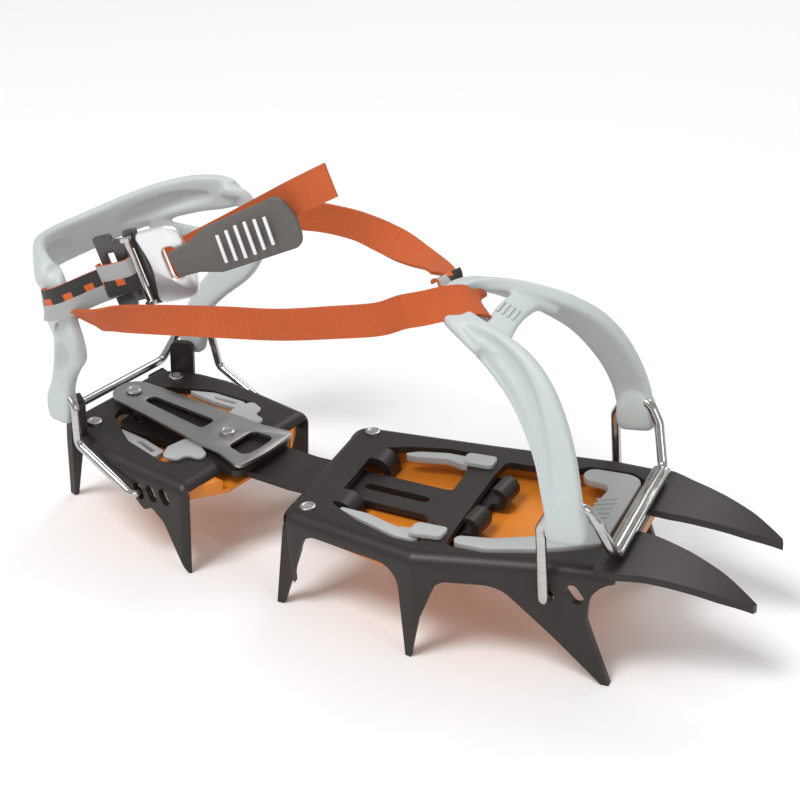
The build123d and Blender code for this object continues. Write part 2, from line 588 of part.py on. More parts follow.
BUCKLE_AT = heel_point(44, -44, 98)
BUCKLE_TURN = 6.0
BUCKLE_TILT = -19.0


def buckle_place():
    """Frame of the buckle: X along the strap, Y out of its face, Z across the strap."""
    return Location(BUCKLE_AT, (0, 0, BUCKLE_TURN)) * Location((0, 0, 0), (0, BUCKLE_TILT, 0))


def buckle_plate():
    """Dark plate with notched ends that the bracket and keeper sit on."""
    plan = [(-11, -17, 1), (-3, -17, 1), (-2, -14, 1), (3, -14, 1), (4, -17, 1), (10, -17, 1),
            (10, 17, 1), (4, 17, 1), (3, 14, 1), (-2, 14, 1), (-3, 17, 1), (-11, 17, 1)]
    plate = slab(plan, 0, 2.2)
    plate -= Pos(-5.5, 0, 0) * Box(4, 18, 10)
    plate -= Pos(4.5, 0, 0) * Box(4, 18, 10)
    return upright(plate)


def upright(flat):
    """Turn a plate drawn in plan so that its face looks to -Y and its plan Y runs up."""
    return flat.rotate(Axis.X, 90)


def buckle_bracket():
    """Bright bracket: a pin across the plate with a lug at each end."""
    pin = Cylinder(1.5, 30)
    lugs = Pos(0.4, 0, 14.6) * Box(3.8, 4.4, 1.8) + Pos(0.4, 0, -14.6) * Box(3.8, 4.4, 1.8)
    return Pos(6.5, -3.4, 0) * (pin + lugs)


def buckle_ring():
    """Bright ring plate with a round-ended hole, hung on the pin."""
    plan = [(-0.4, -16, 3), (19, -16.5, 6), (22.5, 0, 40), (19, 16.5, 6), (-0.4, 16, 3), (3, 0, 30)]
    ring = slab(plan, 0, 2.6)
    hole = [(9.5, -7, 2.5), (17, -7.5, 3.5), (17, 7.5, 3.5), (9.5, 7, 2.5)]
    ring -= slab(hole, 5, 10)
    return Pos(10.5, -3.6, 0) * upright(ring)


def strap_keeper():
    """Closed webbing loop round the strap beside the plate."""
    return Pos(-6, -4.4, 0) * (soft_box(11, 7.0, 19, Axis.X, 0.8) - Box(12, 4.0, 16.5))


def pull_tab():
    """Thick grey tab that hangs in the ring's hole, broad with a round end."""
    plan = [(0, -5.5, 1), (10, -6.5, 4), (20, -10, 8), (58, -11.5, 5), (62, 0, 20),
            (58, 11.5, 5), (20, 10, 8), (10, 6.5, 4), (0, 5.5, 1)]
    return Pos(25.0, -7.2, 0) * upright(slab(plan, 0, 2.4)).rotate(Axis.Y, -8)


def main():
    os.makedirs("parts", exist_ok=True)
    save("front_frame", FRONT * front_frame())
    rivets = [FRONT * rivet(0, y, 0, RIVET_HEAD, 4.6, 12.6) for y in (-FRONT_RIVET_Y, FRONT_RIVET_Y)]
    save("front_rivets", Compound(children=rivets))
    save("front_snow_plate", FRONT * front_snow_plate())
    save("front_snow_nose", FRONT * front_snow_nose())
    save("front_snow_clip_right", FRONT * front_snow_clip(-1))
    save("front_snow_clip_left", FRONT * front_snow_clip(1))
    save("linking_bar", BAR * linking_bar())
    save("toe_bail_wire", FRONT * toe_bail_wire(TOE_WIRE))
    save("toe_harness", FRONT * toe_harness())
    save("heel_frame", HEEL * heel_frame())
    rivets = [HEEL * rivet(0, y, 0, RIVET_HEAD, 4.6, 12.2) for y in (-HEEL_RIVET_Y, HEEL_RIVET_Y)]
    save("heel_rivets", Compound(children=rivets))
    save("heel_snow_plate", HEEL * heel_snow_plate())
    save("heel_snow_bridge", HEEL * heel_snow_bridge())
    save("heel_snow_inlay_right", HEEL * heel_snow_inlay(-1))
    save("heel_snow_inlay_left", HEEL * heel_snow_inlay(1))
    save("adjuster_leaf", HEEL * adjuster_leaf())
    save("adjuster_rivet", HEEL * adjuster_rivet())
    save("adjuster_stud", HEEL * adjuster_stud())
    save("heel_bail_wire", HEEL * heel_bail_wire(HEEL_WIRE))
    save("heel_harness", HEEL * heel_harness())
    for name, run in STRAP_RUNS.items():
        save(name, band(run, STRAP_WIDE, STRAP_THICK))
    buckle = buckle_place()
    for name, piece in (("buckle_plate", buckle_plate), ("buckle_bracket", buckle_bracket),
                        ("buckle_ring", buckle_ring), ("strap_keeper", strap_keeper),
                        ("pull_tab", pull_tab)):
        save(name, buckle * piece())


if __name__ == "__main__":
    main()
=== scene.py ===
"""Strap-on crampon: the finished look of every piece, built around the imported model.

Everything is in metres in the model's own frame. The front section and the heel section are
pitched and turned a little, so each piece is drawn in millimetres in its own section and placed
by that section's matrix.
"""

import math

import bmesh
import bpy
from mathutils import Matrix, Vector
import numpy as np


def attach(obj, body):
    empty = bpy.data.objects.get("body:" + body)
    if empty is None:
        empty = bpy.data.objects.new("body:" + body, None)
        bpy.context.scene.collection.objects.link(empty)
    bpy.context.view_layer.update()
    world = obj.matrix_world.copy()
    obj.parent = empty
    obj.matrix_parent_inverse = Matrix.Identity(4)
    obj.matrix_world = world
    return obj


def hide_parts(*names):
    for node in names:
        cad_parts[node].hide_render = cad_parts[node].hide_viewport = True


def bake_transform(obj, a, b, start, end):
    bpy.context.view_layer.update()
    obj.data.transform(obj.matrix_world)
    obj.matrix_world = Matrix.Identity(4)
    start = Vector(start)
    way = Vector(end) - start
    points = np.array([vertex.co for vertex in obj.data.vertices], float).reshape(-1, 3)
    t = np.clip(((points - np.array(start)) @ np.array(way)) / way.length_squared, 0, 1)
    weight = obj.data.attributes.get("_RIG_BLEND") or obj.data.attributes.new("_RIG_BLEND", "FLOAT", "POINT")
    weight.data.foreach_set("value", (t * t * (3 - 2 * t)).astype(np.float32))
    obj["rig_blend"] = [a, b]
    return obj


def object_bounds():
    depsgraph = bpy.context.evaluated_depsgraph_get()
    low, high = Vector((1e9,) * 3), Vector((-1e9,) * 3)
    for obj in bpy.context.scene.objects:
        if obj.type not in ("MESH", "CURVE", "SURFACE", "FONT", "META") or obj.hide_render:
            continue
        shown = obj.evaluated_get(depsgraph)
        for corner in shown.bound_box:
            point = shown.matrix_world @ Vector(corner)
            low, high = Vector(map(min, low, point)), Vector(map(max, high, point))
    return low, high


bl_info = {
    "name": "Crampon",
    "version": (1, 0, 0),
    "blender": (4, 5, 0),
    "location": "3D View > Sidebar > Crampon",
    "description": "Builds the finished pieces of a strap-on crampon",
    "category": "Object",
}

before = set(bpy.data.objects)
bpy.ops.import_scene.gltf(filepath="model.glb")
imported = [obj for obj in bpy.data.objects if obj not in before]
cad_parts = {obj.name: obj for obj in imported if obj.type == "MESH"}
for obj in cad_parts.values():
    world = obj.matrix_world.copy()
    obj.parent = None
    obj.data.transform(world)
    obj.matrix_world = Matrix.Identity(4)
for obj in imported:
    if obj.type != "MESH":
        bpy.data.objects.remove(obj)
CAD_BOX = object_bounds()
MM = 0.001

# in millimetres
FRONT_RIVET_Y = 35
HEEL_RIVET_Y = 27.6
STRAP_WIDE = 14.0
STRAND_CUTS = (-62.0, 8.0)      # where a strand passes from one joint to the next

CELLS_PER_RIB = 4               # strap cells along one rib
CELLS_ACROSS = 8
RIBBED_SHARE = 0.86             # of the strap's width, with plain edges outside it
STRAND_STEPS = 6                # steps between two rows of a strand
FACING = 0.25                   # how far a face has to look along a groove's direction

LENS = 82.13
SENSOR = 36
CAMERA_PLACE = (0.29397, -0.63097, 0.41703)
CAMERA_TURNS = (22.841, 28.795, -0.077)     # azimuth, elevation and roll, in degrees
LAMPS = (("key", (-0.5, -1.0, 1.9), 32, 0.7), ("side", (1.6, -0.9, 0.8), 5, 0.7),
         ("back", (0.2, 1.5, 1.6), 10, 0.9))


def turned(degrees, axis):
    """A rotation by an angle in degrees."""
    return Matrix.Rotation(math.radians(degrees), 4, axis)


# each section's own frame, in millimetres, to the common frame in metres
TO_METRES = Matrix.Scale(MM, 4)
COMMON = TO_METRES
FRONT = TO_METRES @ turned(-3, "Y")
HEEL = TO_METRES @ Matrix.Translation((-116, 20.1, 0.4)) @ turned(-14, "Z") @ turned(2, "Y")
BUCKLE_AT = TO_METRES.inverted() @ HEEL @ Vector((44, -44, 98))
BUCKLE = TO_METRES @ Matrix.Translation(BUCKLE_AT) @ turned(6, "Z") @ turned(-19, "Y")


# ---------------------------------------------------------------- settings
def length(name, description, default):
    """A size property in metres."""
    return bpy.props.FloatProperty(name=name, description=description, default=default, min=0.0,
                                   unit="LENGTH", subtype="DISTANCE", precision=5)


def colour(name, description, default):
    """A colour property, linear."""
    return bpy.props.FloatVectorProperty(name=name, description=description, default=default,
                                         size=3, min=0.0, max=1.0, subtype="COLOR")


class CramponSizes(bpy.types.PropertyGroup):
    """Sizes that a user would change"""
    edge_round: length("Edge rounding", "Rounding of the stamped edges", 0.00035)
    moulded_round: length("Moulding rounding", "Rounding of the moulded plates' edges", 0.0005)
    strap_thick: length("Webbing thickness", "Thickness of the strap", 0.0014)
    rib_pitch: length("Rib pitch", "Distance between the webbing's ribs", 0.0010)
    rib_depth: length("Rib depth", "Depth of the webbing's ribs", 0.00011)
    block_pitch: length("Block pitch", "Distance between the strap's coloured blocks", 0.0102)
    skin_grain: length("Harness mesh", "Size of the faces of the moulded harnesses", 0.0008)


class CramponColours(bpy.types.PropertyGroup):
    """Colours that a user would change"""
    frame_steel: colour("Frame steel", "Dark coating of the frames", (0.028, 0.023, 0.021))
    bare_steel: colour("Bare steel", "Wires, rivets and the leaf", (0.46, 0.455, 0.45))
    snow_plate: colour("Snow plate", "Trays under the frames", (0.70, 0.215, 0.018))
    moulding: colour("Grey moulding", "Grey parts of the trays", (0.42, 0.43, 0.43))
    harness: colour("Harness", "Moulded harnesses", (0.50, 0.545, 0.54))
    webbing: colour("Webbing", "Ribbed face of the strap", (0.52, 0.092, 0.014))
    webbing_dark: colour("Webbing, dark half", "Dark half of the strap's other face",
                         (0.030, 0.026, 0.026))
    webbing_pale: colour("Webbing, pale half", "Pale half of the strap's other face",
                         (0.42, 0.42, 0.41))
    tab: colour("Pull tab", "Grey tab of the buckle", (0.112, 0.100, 0.092))
    ring: colour("Buckle ring", "Bright ring of the buckle", (0.86, 0.86, 0.87))


def sizes():
    """The size settings."""
    return bpy.context.scene.crampon_sizes


def colours():
    """The colour settings."""
    return bpy.context.scene.crampon_colours


# ---------------------------------------------------------------- shader maths
class Tone:
    """A shader socket that can be used in a Python expression."""

    def __init__(self, finish, socket):
        self.finish = finish
        self.socket = socket

    def math(self, operation, *others):
        """A Math node on this value and the others."""
        values = dict(enumerate((self,) + others))
        return self.finish.node("ShaderNodeMath", {"operation": operation}, values)

    def __add__(self, other):
        return self.math("ADD", other)

    __radd__ = __add__

    def __mul__(self, other):
        return self.math("MULTIPLY", other)

    __rmul__ = __mul__

    def __lt__(self, other):
        return self.math("LESS_THAN", other)

    def __gt__(self, other):
        return self.math("GREATER_THAN", other)

    def __mod__(self, other):
        return self.math("FLOORED_MODULO", other)


class Finish:
    """A material in the making."""

    def __init__(self, name, **values):
        self.material = bpy.data.materials.new(name)
        self.material.use_nodes = True
        self.tree = self.material.node_tree
        self.shader = self.tree.nodes["Principled BSDF"]
        self.set(values)

    def node(self, kind, settings=None, sockets=None, output=0):
        """One node, with its settings, then its sockets; the answer is one of its outputs."""
        made = self.tree.nodes.new(kind)
        for key, value in (settings or {}).items():
            setattr(made, key, value)
        for key, value in (sockets or {}).items():
            self.feed(made.inputs[key], value)
        return Tone(self, made.outputs[output])

    def feed(self, socket, value):
        """A link or a plain value into one socket."""
        if isinstance(value, Tone):
            self.tree.links.new(value.socket, socket)
        elif socket.type == "RGBA":
            socket.default_value = (*tuple(value)[:3], 1.0)
        else:
            socket.default_value = value

    def set(self, values):
        """The shader's own sockets, named as in Python: base_color, roughness and so on."""
        for key, value in values.items():
            socket = key.replace("_", " ").title().replace("Ior", "IOR")
            self.feed(self.shader.inputs[socket], value)

    def place(self, stretch=(1, 1, 1)):
        """Object coordinates, stretched for a pattern with a direction."""
        where = self.node("ShaderNodeTexCoord", output=3)
        return self.node("ShaderNodeMapping", sockets={"Vector": where, "Scale": stretch})

    def speckle(self, scale, detail=3.0, stretch=(1, 1, 1), rough=0.5):
        """Noise from 0 to 1 about 0.5."""
        return self.node("ShaderNodeTexNoise", sockets={
            "Vector": self.place(stretch), "Scale": scale, "Detail": detail, "Roughness": rough})

    def along(self):
        """The strap's own coordinates: along it in metres, and across it from 0 to 1."""
        flat = self.node("ShaderNodeUVMap", {"uv_map": "UVMap"})
        x = self.node("ShaderNodeSeparateXYZ", sockets={0: flat})
        return x, Tone(self, x.socket.node.outputs[1])

    def mix(self, share, first, second):
        """One colour turning into another."""
        return self.node("ShaderNodeMix", {"data_type": "RGBA"},
                         {0: share, 6: first, 7: second}, output=2)

    def bump(self, height, strength, distance):
        """The bump that this height gives goes to the shader."""
        self.set({"normal": self.node("ShaderNodeBump", sockets={
            "Height": height, "Strength": strength, "Distance": distance})})


def shade(rgb, factor):
    """A colour made lighter or darker."""
    return tuple(min(1.0, c * factor) for c in rgb)


def coated_steel():
    """Dark coating with a fine orange-peel texture and dusty, lighter patches."""
    base = colours().frame_steel
    finish = Finish("coated steel", metallic=0.35)
    patches = finish.speckle(38, 5)
    grain = finish.speckle(2600, 2)
    finish.set({"base_color": finish.mix(patches, shade(base, 0.80), shade(base, 1.25)),
                "roughness": patches * 0.16 + 0.36})
    finish.bump(grain, 0.22, 0.00006)
    return finish.material


def brushed_steel(name="brushed steel", stretch=(12, 160, 12)):
    """Bare steel with long brush marks."""
    base = colours().bare_steel
    finish = Finish(name, metallic=1.0)
    brush = finish.speckle(26, 6, stretch, 0.65)
    patches = finish.speckle(60, 3)
    finish.set({"base_color": finish.mix(brush, shade(base, 0.72), shade(base, 0.98)),
                "roughness": brush * 0.22 + patches * 0.12 + 0.22})
    finish.bump(brush, 0.10, 0.00005)
    return finish.material


def polished_wire():
    """Drawn and polished wire with faint rub marks."""
    finish = Finish("polished wire", metallic=1.0)
    rub = finish.speckle(180, 4, (1, 1, 4))
    finish.set({"base_color": finish.mix(rub, (0.40, 0.39, 0.37), (0.62, 0.61, 0.59)),
                "roughness": rub * 0.12 + 0.10})
    return finish.material


def turned_steel():
    """Rivet heads."""
    finish = Finish("rivet steel", metallic=1.0)
    rub = finish.speckle(420, 3)
    finish.set({"base_color": finish.mix(rub, (0.42, 0.41, 0.40), (0.68, 0.67, 0.66)),
                "roughness": rub * 0.2 + 0.24})
    return finish.material


def plastic(name, base, low=0.34, high=0.52, grain_depth=0.00004):
    """Moulded plastic: slightly cloudy colour, and a fine spark-eroded skin."""
    finish = Finish(name)
    clouds = finish.speckle(30, 4)
    grain = finish.speckle(3000, 2)
    finish.set({"base_color": finish.mix(clouds, shade(base, 0.93), shade(base, 1.06)),
                "roughness": clouds * (high - low) + low})
    finish.bump(grain, 0.18, grain_depth)
    return finish.material


def blasted_metal():
    """Bead-blasted light metal."""
    base = colours().ring
    finish = Finish("blasted metal", metallic=0.85)
    grain = finish.speckle(2400, 3)
    patches = finish.speckle(70, 3)
    finish.set({"base_color": finish.mix(patches, shade(base, 0.94), base),
                "roughness": patches * 0.10 + 0.30})
    finish.bump(grain, 0.12, 0.00004)
    return finish.material


def thread_height(along, across):
    """Height of the weave: ribs across the strap, broken up by the threads along it."""
    rib = (along * (2 * math.pi / sizes().rib_pitch)).math("SINE")
    threads = (across * (2 * math.pi * 13)).math("SINE")
    return rib, rib * 0.6 + threads * 0.25


def ribbed_webbing():
    """The strap's coloured face."""
    base = colours().webbing
    finish = Finish("ribbed webbing", sheen_weight=0.06, sheen_roughness=0.5)
    along, across = finish.along()
    rib, height = thread_height(along, across)
    fade = finish.speckle(45, 4)
    # painted shade in the rib valleys and painted highlight on the crests, with random dye fading
    light = height * 0.30 + fade * 0.5 + 0.25
    finish.set({"base_color": finish.mix(light, shade(base, 0.66), shade(base, 1.22)),
                "roughness": fade * 0.15 + 0.66})
    finish.bump(height, 0.55, 0.00012)
    return finish.material


def two_tone_webbing():
    """The strap's other face: one half dark, one half pale, with blocks along the middle."""
    finish = Finish("two-tone webbing", sheen_weight=0.2, sheen_roughness=0.5)
    along, across = finish.along()
    rib, height = thread_height(along, across)
    halves = finish.mix(across > 0.5, colours().webbing_pale, colours().webbing_dark)
    in_block = ((along % sizes().block_pitch) < sizes().block_pitch * 0.40) * 1.0
    in_row = (across > 0.5) * (across < 0.70)
    body = finish.mix(in_block * in_row, halves, shade(colours().webbing, 1.35))
    # painted shade in the rib valleys and painted highlight on the rib crests
    light = height * 0.18 + 0.5
    finish.set({"base_color": finish.node("ShaderNodeMix", {
        "data_type": "RGBA", "blend_type": "MULTIPLY"},
        {0: 0.55, 6: body, 7: finish.mix(light, (0.55, 0.55, 0.55), (1, 1, 1))}, output=2),
        "roughness": 0.78})
    finish.bump(height, 0.5, 0.0001)
    return finish.material


_made = {}


def material(maker, *args):
    """Each material is made once."""
    key = (maker.__name__,) + tuple(str(a) for a in args)
    if key not in _made:
        _made[key] = maker(*args)
    return _made[key]


def snow_orange():
    """Orange plastic of the trays."""
    return material(plastic, "orange plate", tuple(colours().snow_plate))


def snow_grey():
    """Grey plastic of the trays' mouldings."""
    return material(plastic, "grey moulding", tuple(colours().moulding), 0.42, 0.58)


# ---------------------------------------------------------------- making shapes
def clear_selection():
    """Nothing selected and object mode, so that an operator acts on one piece only."""
    if bpy.context.mode != "OBJECT":
        bpy.ops.object.mode_set(mode="OBJECT")
    bpy.ops.object.select_all(action="DESELECT")


def pick(piece):
    """Only this piece selected and active."""
    clear_selection()
    piece.select_set(True)
    bpy.context.view_layer.objects.active = piece


def modify(piece, kind, **settings):
    """Add a modifier and apply it."""
    pick(piece)
    modifier = piece.modifiers.new(kind.title(), kind)
    for key, value in settings.items():
        setattr(modifier, key, value)
    bpy.ops.object.modifier_apply(modifier=modifier.name)


def joined(name, pieces):
    """Several pieces as one object."""
    clear_selection()
    for piece in pieces:
        piece.select_set(True)
    bpy.context.view_layer.objects.active = pieces[0]
    if len(pieces) > 1:
        bpy.ops.object.join()
    pieces[0].name = name
    pieces[0].data.name = name
    return pieces[0]


def face_outwards(piece):
    """Merge doubles and turn all faces outwards."""
    pick(piece)
    bpy.ops.object.mode_set(mode="EDIT")
    bpy.ops.mesh.select_all(action="SELECT")
    bpy.ops.mesh.remove_doubles(threshold=1e-6)
    bpy.ops.mesh.normals_make_consistent(inside=False)
    bpy.ops.object.mode_set(mode="OBJECT")


def finish_piece(piece, name, body, slot, *materials, smooth=35, replaces=()):
    """Name, materials, smoothing and the body that the piece moves with."""
    piece.name = name
    piece.data.name = name
    if materials:
        piece.data.materials.clear()
        for entry in materials:
            piece.data.materials.append(entry)
    pick(piece)
    bpy.ops.object.shade_smooth_by_angle(angle=math.radians(smooth))
    if body:
        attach(piece, body)
    if replaces:
        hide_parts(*replaces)
    return piece


def catmull(rows, steps):
    """A smooth run through rows of numbers, such as a point with its width."""
    out = []
    for i in range(len(rows) - 1):
        p0 = rows[max(i - 1, 0)]
        p1, p2 = rows[i], rows[i + 1]
        p3 = rows[min(i + 2, len(rows) - 1)]
        for k in range(steps):
            t = k / steps
            out.append(tuple(
                0.5 * (2 * b + (c - a) * t + (2 * a - 5 * b + 4 * c - d) * t * t
                       + (3 * b - a - 3 * c + d) * t ** 3)
                for a, b, c, d in zip(p0, p1, p2, p3)))
    out.append(tuple(rows[-1]))
    return out


def mirrored(rows, side=-1):
    """The same rows on one side or the other."""
    return [(x, side * y, *rest) for x, y, *rest in rows]


def squared(value, power):
    """Sign-keeping power, which turns a circle into a rounded square."""
    return math.copysign(abs(value) ** power, value)


def limb(place, rows, lean, steps=4, spokes=24, power=0.42):
    """A closed moulded limb: a disc extruded from station to station.

    Each row is x, y, z, width and thickness; lean is the direction that the width stays close to.
    """
    run = catmull(rows, steps)
    points = [Vector(r[:3]) for r in run]
    clear_selection()
    bpy.ops.mesh.primitive_circle_add(vertices=spokes, radius=1, fill_type="NGON")
    piece = bpy.context.object
    bpy.ops.object.mode_set(mode="EDIT")
    mesh = bmesh.from_edit_mesh(piece.data)
    angle = mesh.verts.layers.float.new("angle")
    for vert in mesh.verts:
        vert[angle] = math.atan2(vert.co.y, vert.co.x)
    for i, row in enumerate(run):
        if i:
            bpy.ops.mesh.extrude_region_move()
            mesh = bmesh.from_edit_mesh(piece.data)
            angle = mesh.verts.layers.float["angle"]
        ahead = points[min(i + 1, len(points) - 1)] - points[max(i - 1, 0)]
        ahead.normalize()
        wide = (Vector(lean) - ahead * ahead.dot(Vector(lean))).normalized()
        thick = ahead.cross(wide)
        for vert in mesh.verts:
            if vert.select:
                a = vert[angle]
                vert.co = place @ (points[i] + wide * squared(math.cos(a), power) * row[3] / 2
                                   + thick * squared(math.sin(a), power) * row[4] / 2)
    bmesh.update_edit_mesh(piece.data)
    bpy.ops.object.mode_set(mode="OBJECT")
    face_outwards(piece)
    return piece


def bar_solid(place, centre, size, turn=None, round_to=0.3):
    """A small bar with rounded edges, in millimetres."""
    clear_selection()
    bpy.ops.mesh.primitive_cube_add(size=1)
    piece = bpy.context.object
    piece.data.transform(Matrix.Diagonal((*size, 1)))
    modify(piece, "BEVEL", width=round_to, segments=3, limit_method="NONE")
    piece.data.transform(place @ Matrix.Translation(centre) @ (turn or Matrix()))
    return piece


def melted(pieces, name, smoothing):
    """Several overlapping limbs made into one skin with soft inner corners."""
    piece = joined(name, pieces)
    modify(piece, "REMESH", mode="VOXEL", voxel_size=sizes().skin_grain)
    modify(piece, "SMOOTH", factor=0.5, iterations=smoothing)
    return piece


def nearest_on(path, point):
    """Half width, depth and offset at the nearest place on a chain of (point, width, depth)."""
    closest, best = 1e9, None
    for (a, wa, da), (b, wb, db) in zip(path, path[1:]):
        span = b - a
        t = max(0.0, min(1.0, (point - a).dot(span) / span.length_squared))
        aside = point - (a + span * t)
        if aside.length < closest:
            closest = aside.length
            best = (wa + (wb - wa) * t, da + (db - da) * t, aside)
    return best


def press_groove(piece, place, rows, outward, sharp):
    """Press a groove into the skin along rows of x, y, z, half width and depth."""
    path = [(place @ Vector(r[:3]), r[3] * MM, r[4] * MM) for r in catmull(rows, 3)]
    towards = (place.to_3x3() @ Vector(outward)).normalized()
    moves = []
    for vert in piece.data.vertices:
        if vert.normal.dot(towards) < FACING:
            continue
        half, depth, aside = nearest_on(path, vert.co)
        gap = (aside - vert.normal * aside.dot(vert.normal)).length
        if gap < half and aside.length < half * 2:
            share = 1 - (gap / half) ** 2
            moves.append((vert.index, -vert.normal * depth * share ** sharp))
    for index, move in moves:
        piece.data.vertices[index].co += move
    modify(piece, "SMOOTH", factor=0.5, iterations=4)


def dressed(node, bevel, segments=2, angle=32):
    """A copy of a CAD node with its edges rounded."""
    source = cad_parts[node]
    piece = source.copy()
    piece.data = source.data.copy()
    bpy.context.scene.collection.objects.link(piece)
    piece.parent = None
    for key in list(piece.keys()):
        del piece[key]
    face_outwards(piece)
    bpy.ops.object.mode_set(mode="EDIT")
    bpy.ops.mesh.select_all(action="SELECT")
    bpy.ops.mesh.dissolve_limited(angle_limit=math.radians(0.5))
    bpy.ops.object.mode_set(mode="OBJECT")
    if bevel:
        modify(piece, "BEVEL", width=bevel, segments=segments, limit_method="ANGLE",
               angle_limit=math.radians(angle), use_clamp_overlap=True)
    return piece


# ---------------------------------------------------------------- metal
class CRAMPON_OT_frames(bpy.types.Operator):
    """Give the two stamped frames and the bar their coating"""
    bl_idname = "crampon.frames"
    bl_label = "Steel frames"

    def execute(self, context):
        coat = material(coated_steel)
        for node, body in (("front_frame", "front_section"), ("heel_frame", "heel_section"),
                           ("linking_bar", "front_section")):
            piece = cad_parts[node]
            piece.data.materials.clear()
            piece.data.materials.append(coat)
        return {"FINISHED"}


class CRAMPON_OT_wires(bpy.types.Operator):
    """Polish the two wire bails"""
    bl_idname = "crampon.wires"
    bl_label = "Wire bails"

    def execute(self, context):
        for node in ("toe_bail_wire", "heel_bail_wire"):
            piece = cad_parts[node]
            piece.data.materials.clear()
            piece.data.materials.append(material(polished_wire))
        return {"FINISHED"}


class CRAMPON_OT_rivets(bpy.types.Operator):
    """Make the rivets, with a domed rim and a cross-shaped punch mark"""
    bl_idname = "crampon.rivets"
    bl_label = "Rivets"

    def execute(self, context):
        sets = (("front_rivets", "front_section", FRONT,
                 [(0, -FRONT_RIVET_Y, 0), (0, FRONT_RIVET_Y, 0)]),
                ("heel_rivets", "heel_section", HEEL,
                 [(0, -HEEL_RIVET_Y, 0), (0, HEEL_RIVET_Y, 0)]),
                ("adjuster_rivet", "heel_section", HEEL, [(-1.2, 0, 4.3)]),
                ("adjuster_stud", "adjuster", HEEL, [(57.4, 0, 3.8)]))
        for node, body, place, spots in sets:
            heads = [self.head(place @ Matrix.Translation(spot)) for spot in spots]
            shank = dressed(node, 0)
            piece = joined(node + "_finished", heads + [shank])
            finish_piece(piece, node + "_finished", body, "rivet_steel", material(turned_steel),
                         smooth=40, replaces=(node,))
        return {"FINISHED"}

    def head(self, place):
        """One rivet head with a dished centre and four punch marks."""
        clear_selection()
        bpy.ops.mesh.primitive_cylinder_add(vertices=40, radius=3.45, depth=0.9,
                                            location=(0, 0, 0.45))
        piece = bpy.context.object
        bpy.ops.object.mode_set(mode="EDIT")
        mesh = bmesh.from_edit_mesh(piece.data)
        for face in mesh.faces:
            face.select_set(face.normal.z > 0.9)
        bmesh.update_edit_mesh(piece.data)
        for inset, rise in ((0.45, 0.3), (0.6, 0.12), (0.35, -0.22), (0.6, -0.12)):
            bpy.ops.mesh.inset(thickness=inset, depth=rise)
        bpy.ops.object.mode_set(mode="OBJECT")
        bpy.ops.object.transform_apply(location=True, rotation=True, scale=True)
        marks = []
        for quarter in range(4):
            turn = turned(45 + 90 * quarter, "Z")
            marks.append(bar_solid(turn, (0.9, 0, 1.02), (1.3, 0.55, 0.5), round_to=0.12))
        piece = joined("rivet head", [piece] + marks)
        piece.data.transform(place)
        return piece


class CRAMPON_OT_adjuster(bpy.types.Operator):
    """Make the spring leaf of the length adjuster"""
    bl_idname = "crampon.adjuster"
    bl_label = "Adjuster leaf"

    def execute(self, context):
        leaf = dressed("adjuster_leaf", 0.0003)
        finish_piece(leaf, "leaf", "adjuster", "leaf_steel", material(brushed_steel), smooth=30,
                     replaces=("adjuster_leaf",))
        return {"FINISHED"}


# ---------------------------------------------------------------- snow plates
class CRAMPON_OT_snow_plates(bpy.types.Operator):
    """Make the trays and their grey mouldings"""
    bl_idname = "crampon.snow_plates"
    bl_label = "Snow plates"

    def execute(self, context):
        rounding = sizes().moulded_round
        trays = (("front_snow_plate", "front_section"), ("heel_snow_plate", "heel_section"))
        for node, body in trays:
            finish_piece(dressed(node, rounding), node + "_finished", body, "snow_orange",
                         snow_orange(), replaces=(node,))
        greys = (("front_snow_nose", "front_section"), ("front_snow_clip_right", "front_section"),
                 ("front_snow_clip_left", "front_section"), ("heel_snow_bridge", "heel_section"),
                 ("heel_snow_inlay_right", "heel_section"),
                 ("heel_snow_inlay_left", "heel_section"))
        for node, body in greys:
            round_here = 0.0002 if "clip" in node else rounding
            finish_piece(dressed(node, round_here), node + "_finished", body, "snow_grey",
                         snow_grey(), replaces=(node,))
        ribs = [bar_solid(FRONT, (119.5, y, 0.7), (9, 1.1, 0.9), turned(24, "Z"), 0.25)
                for y in (-6, -2, 2, 6, 10)]
        finish_piece(joined("nose_ribs", ribs), "nose_ribs", "front_section", "snow_grey",
                     snow_grey())
        return {"FINISHED"}


# ---------------------------------------------------------------- harnesses
def harness_skin():
    """Soft grey plastic of the harnesses."""
    return material(plastic, "harness", tuple(colours().harness), 0.40, 0.56, 0.00005)


